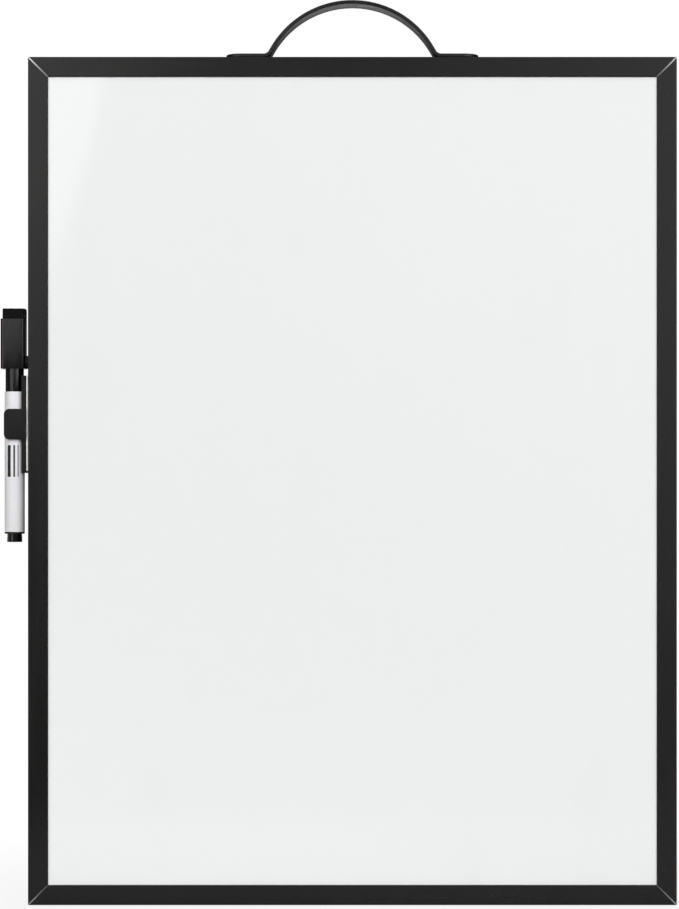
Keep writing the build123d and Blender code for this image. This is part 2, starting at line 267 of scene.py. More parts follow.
# ----------------------------------------------------------- shapes in a plane
def rounded(corners, steps=5):
    """A closed outline from corners of (x, y, radius), each radius held to half of its sides."""
    outline = []
    for index, (x, y, radius) in enumerate(corners):
        here = Vector((x, y))
        before = Vector(corners[index - 1][:2]) - here
        after = Vector(corners[(index + 1) % len(corners)][:2]) - here
        half = before.angle(after) / 2
        if radius == 0 or half > math.radians(89):
            outline.append(here)
            continue
        reach = min(radius / math.tan(half), 0.49 * before.length, 0.49 * after.length)
        radius = reach * math.tan(half)
        inward = (before.normalized() + after.normalized()).normalized()
        middle = here + inward * radius / math.sin(half)
        first = here + before.normalized() * reach - middle
        last = here + after.normalized() * reach - middle
        start = math.atan2(first.y, first.x)
        turn = math.remainder(math.atan2(last.y, last.x) - start, math.tau)
        for step in range(steps + 1):
            angle = start + turn * step / steps
            outline.append(middle + radius * Vector((math.cos(angle), math.sin(angle))))
    return outline


def rectangle(low, high, radius=0.0, steps=5):
    """A rectangle between two corners, with its corners rounded."""
    corners = ((low[0], low[1]), (high[0], low[1]), (high[0], high[1]), (low[0], high[1]))
    return rounded([(x, y, radius) for x, y in corners], steps)


def circle(centre, radius, steps=48):
    """A circle as an outline."""
    angles = [math.tau * step / steps for step in range(steps)]
    return [Vector(centre) + radius * Vector((math.cos(a), math.sin(a))) for a in angles]


def grown(outline, amount):
    """An outline whose points are moved along its outward normals, for one drawn anticlockwise."""
    moved = []
    for index, point in enumerate(outline):
        along = (outline[(index + 1) % len(outline)] - outline[index - 1]).normalized()
        moved.append(point + amount * Vector((along.y, -along.x)))
    return moved


# -------------------------------------------------------------------- meshes
def piece_from(name, mesh_edit):
    """A new object from a bmesh, with its faces turned outward."""
    bmesh.ops.recalc_face_normals(mesh_edit, faces=mesh_edit.faces)
    mesh = bpy.data.meshes.new(name)
    mesh_edit.to_mesh(mesh)
    mesh_edit.free()
    piece = bpy.data.objects.new(name, mesh)
    bpy.context.scene.collection.objects.link(piece)
    return piece


def skin(mesh_edit, rings, closed_ends=True):
    """Faces between rings of as many vertices each, with a face over each open end."""
    for ring, following in zip(rings, rings[1:]):
        for index in range(len(ring)):
            after = (index + 1) % len(ring)
            mesh_edit.faces.new((ring[index], ring[after], following[after], following[index]))
    if closed_ends:
        mesh_edit.faces.new(rings[0])
        mesh_edit.faces.new(rings[-1])


# Where an outline's x and y and the direction of its extrusion go
UPRIGHT = Matrix.Identity(4)
FRONTAL = Matrix(((1, 0, 0, 0), (0, 0, 1, 0), (0, 1, 0, 0), (0, 0, 0, 1)))
SIDEWAYS = Matrix(((0, 0, 1, 0), (1, 0, 0, 0), (0, 1, 0, 0), (0, 0, 0, 1)))


def prism(name, outline, low, high, place=UPRIGHT, end_scale=1.0):
    """An outline drawn out from low to high, its far end scaled about its middle."""
    middle = sum(outline, Vector((0, 0))) / len(outline)
    mesh_edit = bmesh.new()
    rings = []
    for level, scale in ((low, 1.0), (high, end_scale)):
        points = [middle + (point - middle) * scale for point in outline]
        rings.append([mesh_edit.verts.new(place @ Vector((x, y, level))) for x, y in points])
    skin(mesh_edit, rings)
    return piece_from(name, mesh_edit)


def soft_prism(name, outline, low, high, edge, place=UPRIGHT, steps=4):
    """An outline drawn anticlockwise and drawn out from low to high, both ends rounded by edge."""
    quarter = [math.pi / 2 * step / steps for step in range(steps + 1)]
    levels = [(low + edge - edge * math.cos(a), edge * math.sin(a) - edge) for a in quarter]
    levels += [(low + high - level, inset) for level, inset in reversed(levels)]
    mesh_edit = bmesh.new()
    rings = []
    for level, inset in levels:
        points = grown(outline, inset)
        rings.append([mesh_edit.verts.new(place @ Vector((x, y, level))) for x, y in points])
    skin(mesh_edit, rings)
    return piece_from(name, mesh_edit)


def lathe(name, outline, place=UPRIGHT, steps=72):
    """A closed outline of radius and height, turned about the axis that place gives."""
    mesh_edit = bmesh.new()
    rings = []
    for radius, height in outline:
        turns = 1 if radius < 1e-7 else steps
        angles = [math.tau * turn / turns for turn in range(turns)]
        spots = [Vector((radius * math.cos(a), radius * math.sin(a), height)) for a in angles]
        rings.append([mesh_edit.verts.new(place @ spot) for spot in spots])
    for ring, following in zip(rings, rings[1:] + rings[:1]):
        for turn in range(steps):
            corners = [ring[turn % len(ring)], ring[(turn + 1) % len(ring)]]
            corners += [following[(turn + 1) % len(following)], following[turn % len(following)]]
            corners = list(dict.fromkeys(corners))
            if len(corners) > 2:
                mesh_edit.faces.new(corners)
    return piece_from(name, mesh_edit)


def settle(piece):
    """Replaces a piece's mesh by what its modifiers make of it."""
    bpy.context.view_layer.update()
    made = piece.evaluated_get(bpy.context.evaluated_depsgraph_get())
    piece.data = bpy.data.meshes.new_from_object(made)
    piece.modifiers.clear()


def combine(piece, tool, operation):
    """Adds a second solid to a piece or cuts it away, and removes the second solid."""
    change = piece.modifiers.new(operation.title(), "BOOLEAN")
    change.operation = operation
    change.solver = "EXACT"
    change.object = tool
    settle(piece)
    bpy.data.objects.remove(tool)


def round_edges(piece, width, steps=3, angle=40):
    """Rounds every edge that is sharper than angle."""
    bevel = piece.modifiers.new("Edges", "BEVEL")
    bevel.width = width
    bevel.segments = steps
    bevel.limit_method = "ANGLE"
    bevel.angle_limit = math.radians(angle)
    settle(piece)


def cut_across(mesh_edit, spot, normal):
    """Adds edges where a plane crosses a mesh."""
    everything = mesh_edit.verts[:] + mesh_edit.edges[:] + mesh_edit.faces[:]
    bmesh.ops.bisect_plane(mesh_edit, geom=everything, plane_co=spot, plane_no=normal)


def joined(name, pieces):
    """One object from several, which keep apart as solids."""
    mesh_edit = bmesh.new()
    for piece in pieces:
        mesh_edit.from_mesh(piece.data)
        bpy.data.objects.remove(piece)
    return piece_from(name, mesh_edit)


def present(piece, material, slot, body, *nodes, smooth=35):
    """Shades a finished piece, gives it its material, hangs it on the body that it rides on and
    hides the nodes that it replaces.
    """
    mesh = piece.data
    mesh.shade_smooth()
    mesh.set_sharp_from_angle(angle=math.radians(smooth))
    mesh.materials.clear()
    mesh.materials.append(material)
    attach(piece, body)
    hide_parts(*nodes)


def dress(node, material):
    """Gives a CAD node that stays its material."""
    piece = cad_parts[node]
    if not piece.material_slots:
        piece.data.materials.append(material)
    for holder in piece.material_slots:
        holder.material = material


# ----------------------------------------------------------------- materials
def feed(tree, value, socket):
    """Links an output to a socket, or writes a plain value on it."""
    if isinstance(value, bpy.types.NodeSocket):
        tree.links.new(value, socket)
    else:
        socket.default_value = value


def maths(tree, operation, *values):
    """The result of one sum in a node tree."""
    made = tree.nodes.new("ShaderNodeMath")
    made.operation = operation
    for value, socket in zip(values, made.inputs):
        feed(tree, value, socket)
    return made.outputs[0]


def remap(tree, value, low, high, to_low, to_high):
    """A value from low to high, brought smoothly to another range and held there."""
    made = tree.nodes.new("ShaderNodeMapRange")
    made.interpolation_type = "SMOOTHSTEP"
    for number, socket in zip((value, low, high, to_low, to_high), made.inputs):
        feed(tree, number, socket)
    return made.outputs["Result"]


def axes(tree, vector):
    """The X, Y and Z outputs of a vector."""
    made = tree.nodes.new("ShaderNodeSeparateXYZ")
    feed(tree, vector, made.inputs[0])
    return made.outputs


class Surface:
    """A node material round one Principled shader, textured in the piece's own coordinates."""

    def __init__(self, name, colour, roughness, metallic=0.0, **sockets):
        self.material = bpy.data.materials.new(name)
        self.material.use_nodes = True
        self.tree = self.material.node_tree
        self.shader = self.tree.nodes["Principled BSDF"]
        self.colour = (*colour, 1)
        self.shader.inputs["Base Color"].default_value = self.colour
        self.shader.inputs["Roughness"].default_value = roughness
        self.shader.inputs["Metallic"].default_value = metallic
        for socket, value in sockets.items():
            self.shader.inputs[socket.replace("_", " ")].default_value = value
        self.place = self.node("ShaderNodeTexCoord").outputs["Object"]
        self.bumps = None

    def node(self, kind, **settings):
        """A new node with its own settings."""
        made = self.tree.nodes.new(kind)
        for name, value in settings.items():
            setattr(made, name, value)
        return made

    def feed(self, value, socket):
        """Links an output to a socket, or writes a plain value on it."""
        feed(self.tree, value, socket)

    def maths(self, operation, *values):
        """The result of one sum."""
        return maths(self.tree, operation, *values)

    def axes(self, vector):
        """The X, Y and Z outputs of a vector."""
        return axes(self.tree, vector)

    def stretched(self, scale):
        """The piece's coordinates, each multiplied by its own number."""
        made = self.node("ShaderNodeVectorMath", operation="MULTIPLY")
        self.feed(self.place, made.inputs[0])
        made.inputs[1].default_value = scale
        return made.outputs[0]

    def noise(self, grain, detail=3.0, stretch=(1, 1, 1), roughness=0.5):
        """Noise from 0 to 1 whose features are about grain wide, longer where stretch is small."""
        made = self.node("ShaderNodeTexNoise")
        self.feed(self.stretched(stretch), made.inputs["Vector"])
        made.inputs["Scale"].default_value = 1 / grain
        made.inputs["Detail"].default_value = detail
        made.inputs["Roughness"].default_value = roughness
        return made.outputs["Fac"]

    def cells(self, grain, feature="F1", stretch=(1, 1, 1)):
        """Distance in a pattern of cells that are about grain wide."""
        made = self.node("ShaderNodeTexVoronoi", feature=feature)
        self.feed(self.stretched(stretch), made.inputs["Vector"])
        made.inputs["Scale"].default_value = 1 / grain
        return made.outputs["Distance"]

    def remap(self, value, low, high, to_low, to_high):
        """A value from low to high, brought smoothly to another range and held there."""
        return remap(self.tree, value, low, high, to_low, to_high)

    def blend(self, factor, first, second):
        """A colour between two colours."""
        made = self.node("ShaderNodeMix", data_type="RGBA")
        self.feed(factor, made.inputs["Factor"])
        for side, colour in (("A", first), ("B", second)):
            self.feed(colour, next(s for s in made.inputs if s.name == side and s.type == "RGBA"))
        return next(s for s in made.outputs if s.type == "RGBA")

    def paint(self, colour):
        """Uses a colour as the base colour."""
        self.feed(colour, self.shader.inputs["Base Color"])

    def mottle(self, grain, amount, stretch=(1, 1, 1)):
        """Varies the base colour a little, darker and lighter by amount."""
        dark = [channel * (1 - amount) for channel in self.colour[:3]] + [1]
        light = [min(1, channel * (1 + amount)) for channel in self.colour[:3]] + [1]
        factor = self.remap(self.noise(grain, 4, stretch), 0.3, 0.7, 0, 1)
        self.paint(self.blend(factor, dark, light))

    def scuff(self, grain, low, high, stretch=(1, 1, 1)):
        """Varies the roughness between low and high."""
        value = self.remap(self.noise(grain, 5, stretch), 0.35, 0.65, low, high)
        self.feed(value, self.shader.inputs["Roughness"])

    def relief(self, height, depth, strength=1.0):
        """Adds a bump whose height from 0 to 1 stands for depth metres, on top of those before."""
        made = self.node("ShaderNodeBump")
        made.inputs["Strength"].default_value = strength
        made.inputs["Distance"].default_value = depth
        self.feed(height, made.inputs["Height"])
        if self.bumps is not None:
            self.feed(self.bumps, made.inputs["Normal"])
        self.bumps = made.outputs["Normal"]
        self.feed(self.bumps, self.shader.inputs["Normal"])


def coated_rail(settings, along, least_lean=0.08):
    """Satin black coat over extruded aluminium, with die lines and bare sawn mitres painted darker
    towards their inner ends as shade.
    """
    surface = Surface(f"coated_aluminium_{along.lower()}", settings.coat, settings.roughness,
                      Specular_IOR_Level=0.42)
    stretch = [0.004 if axis == along else 1.0 for axis in "XYZ"]
    lines = surface.noise(settings.line_width, 3, stretch)
    specks = surface.remap(surface.cells(settings.speck * 14), 0.03, 0.06, 1, 0)
    patches = surface.remap(surface.noise(40 * MM, 4), 0.35, 0.65, 0, 1)
    dark = [channel * 0.82 for channel in settings.coat] + [1]
    light = [channel * 1.18 for channel in settings.coat] + [1]
    dust = [channel * 3.2 for channel in settings.coat] + [1]
    coat = surface.blend(specks, surface.blend(patches, dark, light), dust)
    # A sawn face is the only one that leans along both X and Z
    normal = surface.axes(surface.node("ShaderNodeTexCoord").outputs["Normal"])
    lean = surface.maths("ABSOLUTE", surface.maths("MULTIPLY", normal["X"], normal["Z"]))
    sawn = surface.maths("GREATER_THAN", lean, least_lean)
    # Painted shade: the bare metal is painted darker from the frame's outer corners towards the
    # inner end of each mitre
    low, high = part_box("right_rail")
    spot_x = surface.axes(surface.place)["X"]
    outward = surface.remap(surface.maths("ABSOLUTE", spot_x), low.x, high.x, 0.1, 1)
    marks = surface.remap(surface.noise(0.25 * MM, 4), 0.3, 0.7, 0.8, 1.0)
    metal = surface.blend(surface.maths("MULTIPLY", outward, marks),
                          [channel * 0.45 for channel in settings.bare_metal] + [1],
                          [*settings.bare_metal, 1])
    surface.paint(surface.blend(sawn, coat, metal))
    surface.feed(sawn, surface.shader.inputs["Metallic"])
    satin = surface.remap(surface.noise(9 * MM, 5, stretch=[s ** 0.4 for s in stretch]), 0.3, 0.7,
                          settings.roughness - 0.02, settings.roughness + 0.03)
    rubbed = surface.remap(sawn, 0, 1, 0, -0.1)
    surface.feed(surface.maths("ADD", satin, rubbed), surface.shader.inputs["Roughness"])
    surface.relief(lines, 0.003 * MM, 0.4)
    surface.relief(surface.noise(0.12 * MM, 2), 0.003 * MM, 0.4)
    return surface.material


def writing_lacquer(settings):
    """Glossy white lacquer with a trace of orange peel and of rubbed-out strokes."""
    surface = Surface("white_lacquer", settings.sheet, settings.roughness, Specular_IOR_Level=0.5)
    wiped = surface.noise(35 * MM, 5, (1, 1, 0.35), 0.6)
    ghosts = surface.remap(wiped, 0.56, 0.78, 0, 0.2)
    surface.paint(surface.blend(ghosts, surface.colour, [*settings.ghost, 1]))
    surface.scuff(50 * MM, settings.roughness - 0.015, settings.roughness + 0.03, (1, 1, 0.4))
    surface.relief(surface.noise(1.6 * MM, 2), 0.0012 * MM, 0.5)
    return surface.material


def cardboard(settings):
    """Brown honeycomb board, seen only at its sawn edge."""
    surface = Surface("honeycomb_board", settings.core, 0.85)
    surface.mottle(3 * MM, 0.22)
    surface.relief(surface.cells(6 * MM, "DISTANCE_TO_EDGE"), 0.4 * MM, 0.7)
    surface.relief(surface.noise(0.4 * MM, 4), 0.08 * MM, 0.6)
    return surface.material


def strap_paint(settings):
    """Smooth black paint with a fine orange peel, rubbed shinier where a hand holds it."""
    surface = Surface("strap_paint", settings.coat, settings.roughness, Specular_IOR_Level=0.5)
    surface.mottle(11 * MM, 0.16)
    low, high = (corner.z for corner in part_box("handle"))
    held = surface.remap(surface.axes(surface.place)["Z"], (low + high) / 2, high, 0.0, -0.07)
    satin = surface.remap(surface.noise(6 * MM, 5), 0.35, 0.65, settings.roughness - 0.04,
                          settings.roughness + 0.06)
    surface.feed(surface.maths("ADD", satin, held), surface.shader.inputs["Roughness"])
    surface.relief(surface.noise(0.55 * MM, 2), 0.008 * MM, 0.45)
    return surface.material


def moulded(name, colour, roughness, spark=0.45 * MM, depth=0.01 * MM, **sockets):
    """Moulded plastic with a fine spark-eroded grain, faint flow streaks and worn spots."""
    surface = Surface(name, colour, roughness, **sockets)
    surface.mottle(5 * MM, 0.14, (1, 1, 0.3))
    surface.scuff(2.5 * MM, roughness - 0.05, roughness + 0.07, (1, 1, 0.25))
    surface.relief(surface.noise(spark, 3), depth, 0.5)
    surface.relief(surface.noise(12 * MM, 2), 0.04 * MM, 0.3)
    return surface.material


def metal(name, colour, roughness, grain=0.15 * MM):
    """Plated or blackened metal with fine tool marks."""
    surface = Surface(name, colour, roughness, 1.0)
    surface.mottle(1.2 * MM, 0.12)
    surface.scuff(0.8 * MM, roughness - 0.06, roughness + 0.1)
    surface.relief(surface.noise(grain, 3), 0.006 * MM, 0.5)
    return surface.material


def fibre(name, colour, strand=0.16 * MM, upright=0.25):
    """Pressed fibres: matt, uneven and slightly streaky."""
    surface = Surface(name, colour, 0.92, Specular_IOR_Level=0.2, Sheen_Weight=0.05,
                      Sheen_Roughness=0.5)
    surface.mottle(0.9 * MM, 0.3)
    surface.relief(surface.noise(strand, 5, (1, 1, upright)), 0.05 * MM, 0.8)
    surface.relief(surface.cells(0.35 * MM), 0.06 * MM, 0.5)
    return surface.material


def foam(name, colour):
    """Closed-cell foam with its cut cells showing."""
    surface = Surface(name, colour, 0.75)
    surface.mottle(1.5 * MM, 0.05)
    surface.relief(surface.cells(0.22 * MM), 0.05 * MM, 0.6)
    return surface.material


# Middle and width of each printed stroke, in millimetres across the front of the barrel
STROKES = ((-2.1, 1.5), (0.3, 0.8), (2.1, 0.4))


def printed_barrel(settings):
    """Smooth white plastic with three printed strokes, wide to narrow, as a stroke-width mark."""
    surface = Surface("printed_barrel", settings.barrel, settings.roughness,
                      Subsurface_Weight=0.08, Subsurface_Scale=0.0015)
    low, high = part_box("marker_barrel")
    axis_x, axis_y = (low.x + high.x) / 2, (low.y + high.y) / 2
    holder_low, holder_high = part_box("marker_holder")
    arm_height = bpy.context.scene.board.clip.arm_height
    top = (holder_low.z + holder_high.z) / 2 - arm_height / 2 - settings.mark_top
    spot = surface.axes(surface.place)
    fade = 0.04 * MM

    def between(value, start, end):
        rise = surface.remap(value, start - fade, start + fade, 0, 1)
        fall = surface.remap(value, end - fade, end + fade, 1, 0)
        return surface.maths("MULTIPLY", rise, fall)

    inked = None
    for centre, width in STROKES:
        start = axis_x + (centre - width / 2) * MM
        stroke = between(spot["X"], start, start + width * MM)
        inked = stroke if inked is None else surface.maths("ADD", inked, stroke)
    height = between(spot["Z"], top - settings.mark_length, top)
    inked = surface.maths("MULTIPLY", inked, height)
    front = surface.maths("LESS_THAN", spot["Y"], axis_y)
    inked = surface.maths("MULTIPLY", inked, front)
    patchy = surface.remap(surface.noise(0.5 * MM, 3), 0.2, 0.45, 0.86, 1)
    inked = surface.maths("MULTIPLY", inked, patchy)
    shade = surface.remap(surface.noise(14 * MM, 3), 0.3, 0.7, 0, 1)
    darker = [channel * 0.96 for channel in settings.barrel] + [1]
    plain = surface.blend(shade, darker, surface.colour)
    surface.paint(surface.blend(inked, plain, [*settings.print_ink, 1]))
    surface.scuff(4 * MM, settings.roughness - 0.04, settings.roughness + 0.08, (1, 1, 0.3))
    surface.relief(surface.noise(0.7 * MM, 2), 0.006 * MM, 0.4)
    return surface.material


# -------------------------------------------------------------------- pieces
def cad_rails():
    """Lowest and highest corner of the four rails together."""
    boxes = [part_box(f"{side}_rail") for side in ("top", "bottom", "left", "right")]
    lows, highs = zip(*boxes)
    return (Vector(min(corner[i] for corner in lows) for i in range(3)),
            Vector(max(corner[i] for corner in highs) for i in range(3)))


def axis_place(node):
    """The place of a round node's upright axis."""
    low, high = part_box(node)
    return Matrix.Translation(((low.x + high.x) / 2, (low.y + high.y) / 2, 0))


def writing_sheet(node, settings, columns=48, rows=64):
    """A thin sheet that is nearly flat, with the shallow waves that glued sheet metal has."""
    low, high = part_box(node)
    own_waves = low.y * 50
    mesh_edit = bmesh.new()
    faces = []
    for depth in (low.y, high.y):
        grid = []
        for row in range(rows + 1):
            line = []
            for column in range(columns + 1):
                x = low.x + (high.x - low.x) * column / columns
                z = low.z + (high.z - low.z) * row / rows
                wave = noise.noise(Vector((x, own_waves, z)) / settings.ripple)
                line.append(mesh_edit.verts.new((x, depth + settings.undulation * wave, z)))
            grid.append(line)
        faces.append(grid)
    front, back = faces
    for grid in faces:
        for row in range(rows):
            for column in range(columns):
                mesh_edit.faces.new((grid[row][column], grid[row][column + 1],
                                     grid[row + 1][column + 1], grid[row + 1][column]))
    rim = [(0, column) for column in range(columns)]
    rim += [(row, columns) for row in range(rows)]
    rim += [(rows, column) for column in range(columns, 0, -1)]
    rim += [(row, 0) for row in range(rows, 0, -1)]
    for (row, column), (next_row, next_column) in zip(rim, rim[1:] + rim[:1]):
        mesh_edit.faces.new((front[row][column], front[next_row][next_column],
                             back[next_row][next_column], back[row][column]))
    return piece_from(f"lacquered_{node}", mesh_edit)


def screw(name, head, shank, length, place, turn):
    """A countersunk screw with a rounded rim and a cross recess, its head at the top of place."""
    rim = 0.12 * head
    cone = head - shank
    outline = rounded([
        (0, 0, 0), (head, 0, rim), (head, -0.15 * cone, rim), (shank, -cone, rim),
        (shank, 0.8 * shank - length, rim), (0, -length, 0),
    ], 3)
    made = lathe(name, outline, steps=40)
    arm, width = 0.6 * head, 0.13 * head
    cross = [(arm, width), (width, width), (width, arm)]
    outline = []
    for quarter in range(4):
        spin = Matrix.Rotation(math.pi / 2 * quarter, 2)
        outline += [spin @ Vector(point) for point in cross]
    recess = prism("recess", outline, 0.05 * head, -0.55 * head, end_scale=0.45)
    combine(made, recess, "DIFFERENCE")
    made.data.transform(place @ Matrix.Rotation(turn, 4, "Z"))
    return made


def handle_spots():
    """Where the two handle screws' heads are."""
    settings = bpy.context.scene.board.handle
    low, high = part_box("handle_screws")
    return [(x, (low.y + high.y) / 2, high.z)
            for x in (low.x + settings.screw_head, high.x - settings.screw_head)]


def bent(settings, low, high, arch_cuts=56, bend_cuts=12):
    """How to carry a point of the flat strap to the bent one, where to cut, and half the length."""
    thickness = settings.thickness
    arch = settings.arch_radius - thickness / 2
    arch_z = high.z - settings.arch_radius
    bend = settings.bend_radius + thickness / 2
    bend_z = low.z + thickness + settings.bend_radius
    bend_x = math.sqrt((arch + bend) ** 2 - (bend_z - arch_z) ** 2)
    meeting = math.atan2(bend_x, bend_z - arch_z)
    arch_half = arch * meeting
    bend_half = bend * meeting
    flat_half = arch_half + bend_half + (high.x - bend_x)

    def carry(point):
        side = -1 if point.x < 0 else 1
        run = abs(point.x)
        if run <= arch_half:
            angle = run / arch
            radius = arch + point.z
            x, z = radius * math.sin(angle), arch_z + radius * math.cos(angle)
        elif run <= arch_half + bend_half:
            angle = meeting - (run - arch_half) / bend
            radius = bend - point.z
            x, z = bend_x - radius * math.sin(angle), bend_z - radius * math.cos(angle)
        else:
            x = bend_x + run - arch_half - bend_half
            z = bend_z - bend + point.z
        return Vector((side * x, point.y, z))

    cuts = [arch_half * step / arch_cuts for step in range(-arch_cuts, arch_cuts + 1)]
    for step in range(1, bend_cuts + 1):
        at = arch_half + bend_half * step / bend_cuts
        cuts += [at, -at]
    return carry, cuts, flat_half


def bent_strap(settings):
    """The handle: cut flat with round ends, its edges broken, drilled for the screws, then bent."""
    low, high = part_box("handle")
    carry, cuts, flat_half = bent(settings, low, high)
    half_width = (high.y - low.y) / 2
    half = settings.thickness / 2
    ends = rectangle((-flat_half, -half_width), (flat_half, half_width), half_width * 0.999, 16)
    strap = soft_prism("carry_handle", ends, -half, half, settings.edge, steps=3)
    inset = high.x - handle_spots()[1][0]
    for x in (inset - flat_half, flat_half - inset):
        shank = settings.screw_shank + settings.clearance
        head = settings.screw_head + settings.clearance
        over = 0.2 * MM
        outline = [Vector(point) for point in (
            (0, over + half), (head + over, over + half), (shank, half - (head - shank)),
            (shank, -half - over), (0, -half - over))]
        hole = lathe("hole", outline, Matrix.Translation((x, 0, 0)), 48)
        combine(strap, hole, "DIFFERENCE")
    mesh_edit = bmesh.new()
    mesh_edit.from_mesh(strap.data)
    for at in cuts:
        cut_across(mesh_edit, (at, 0, 0), (1, 0, 0))
    for vertex in mesh_edit.verts:
        vertex.co = carry(vertex.co)
    mesh_edit.to_mesh(strap.data)
    mesh_edit.free()
    return strap


def clip_body(settings):
    """The moulded clip: a back plate with two arms that close round the barrel."""
    low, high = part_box("marker_holder")
    tape_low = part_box("holder_foam_tape")[0]
    axis = axis_place("marker_barrel").translation
    middle = (low.z + high.z) / 2
    plate_x = tape_low.x
    half_plate = -tape_low.y
    plate = rectangle((plate_x - settings.plate, low.z), (plate_x, high.z), 0.3 * MM, 3)
    clip = prism("marker_clip", plate, -half_plate, half_plate, FRONTAL)
    half_arm = settings.arm_height / 2
    root = plate_x - 0.02 * MM  # keeps the arms' back face off the plate's
    corners = [
        (low.x, middle - half_arm, settings.arm_round), (root, middle - half_arm, 0),
        (root, middle + half_arm, 0), (low.x, middle + half_arm, settings.arm_round),
    ]
    arms = prism("arms", rounded(corners, 8), low.y, high.y, FRONTAL)
    combine(clip, arms, "UNION")
    lip = rectangle((plate_x - 0.5 * MM, low.z), (high.x, tape_low.z), 0.15 * MM, 3)
    combine(clip, prism("lip", lip, -half_plate * 0.998, half_plate * 0.998, FRONTAL), "UNION")
    # The bore runs round from one side of the mouth to the other
    closed = math.pi - math.asin(settings.mouth / settings.bore)
    turns = 56
    angles = [closed * (2 * turn / turns - 1) for turn in range(turns + 1)]
    cutter = [Vector((axis.x + settings.bore * math.cos(a), axis.y + settings.bore * math.sin(a)))
              for a in angles]
    lead = settings.mouth_lead
    flare = settings.mouth + 2 * lead
    cutter += [Vector((x, axis.y + y)) for x, y in (
        (low.x + lead, settings.mouth), (low.x - lead, flare),
        (low.x - lead, -flare), (low.x + lead, -settings.mouth))]
    combine(clip, prism("bore", cutter, low.z - lead, high.z + lead), "DIFFERENCE")
    round_edges(clip, settings.edge, 3)
    return clip


def foam_strip(seed=3):
    """The tape: a strip of foam whose cut sides are slightly uneven."""
    low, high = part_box("holder_foam_tape")
    outline = rectangle((low.x, low.y), (high.x, high.y), 0.22 * MM, 3)
    strip = soft_prism("foam_tape", outline, low.z, high.z, 0.2 * MM)
    mesh_edit = bmesh.new()
    mesh_edit.from_mesh(strip.data)
    slices = 60
    for step in range(1, slices):
        at = low.z + (high.z - low.z) * step / slices
        cut_across(mesh_edit, (0, 0, at), (0, 0, 1))
    middle = (low.y + high.y) / 2
    for vertex in mesh_edit.verts:
        wander = noise.noise(Vector((vertex.co.y * 90, seed, vertex.co.z * 700)))
        vertex.co.y = middle + (vertex.co.y - middle) * (0.985 + 0.012 * wander)
    mesh_edit.to_mesh(strip.data)
    mesh_edit.free()
    return strip


def barrel_tube(settings):
    """The barrel: a plain tube with broken edges."""
    low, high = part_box("marker_barrel")
    outer = (high.x - low.x) / 2
    inner = outer - settings.wall
    edge = 0.15 * MM
    corners = [(inner, low.z, edge), (outer, low.z, edge),
               (outer, high.z, edge), (inner, high.z, edge)]
    return lathe("barrel_tube", rounded(corners, 3), axis_place("marker_barrel"), 96)


def end_plug(settings):
    """The plug at the barrel's lower end, with a thin flange and a hollow end."""
    low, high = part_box("marker_end_plug")
    barrel_low, barrel_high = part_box("marker_barrel")
    flange = (barrel_high.x - barrel_low.x) / 2
    flange_z = barrel_low.z - settings.flange
    spigot = flange - settings.wall - 0.05 * MM
    radius, hollow = settings.plug_radius, settings.plug_hollow
    edge = 0.2 * MM
    corners = [
        (0, flange_z - 1 * MM, 0), (hollow, flange_z - 1 * MM, edge), (hollow, low.z, edge),
        (radius + 0.15 * MM, low.z, edge * 1.5), (radius, flange_z, edge),
        (flange, flange_z, edge), (flange, barrel_low.z, edge), (spigot, barrel_low.z, 0),
        (spigot, high.z, edge), (0, high.z, 0),
    ]
    return lathe("end_plug", rounded(corners, 4), axis_place("marker_barrel"), 96)


def neck_front(settings):
    """The black front of the marker: neck, cone and nose, bored for the nib."""
    low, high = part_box("marker_neck")
    barrel_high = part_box("marker_barrel")[1]
    spigot = barrel_high.x - axis_place("marker_barrel").translation.x - settings.wall - 0.05 * MM
    bore = settings.nib_radius + 0.05 * MM
    seat = barrel_high.z
    cone = seat + settings.neck_length
    edge = 0.25 * MM
    corners = [
        (bore, low.z, 0), (spigot, low.z, edge), (spigot, seat, 0),
        (settings.neck_radius, seat, edge), (settings.neck_radius, cone, 3 * edge),
        (settings.nose_radius, cone + settings.shoulder, 3 * edge),
        (settings.nose_radius, high.z, 2 * edge), (bore, high.z, edge),
    ]
    return lathe("neck_front", rounded(corners, 5), axis_place("marker_barrel"), 96)


def fibre_nib(settings):
    """The bullet nib, a little worn at its tip."""
    low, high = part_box("marker_nib")
    radius = settings.nib_radius
    corners = [(0, low.z, 0), (radius, low.z, 0.2 * MM), (radius, high.z, radius), (0, high.z, 0)]
    nib = lathe("fibre_nib", rounded(corners, 10), axis_place("marker_barrel"), 48)
    for vertex in nib.data.vertices:
        if vertex.co.z > high.z - 2 * radius:
            spot = Vector(vertex.co) / (0.35 * MM)
            vertex.co.z -= 0.05 * MM * (1 + noise.noise(spot))
    return nib


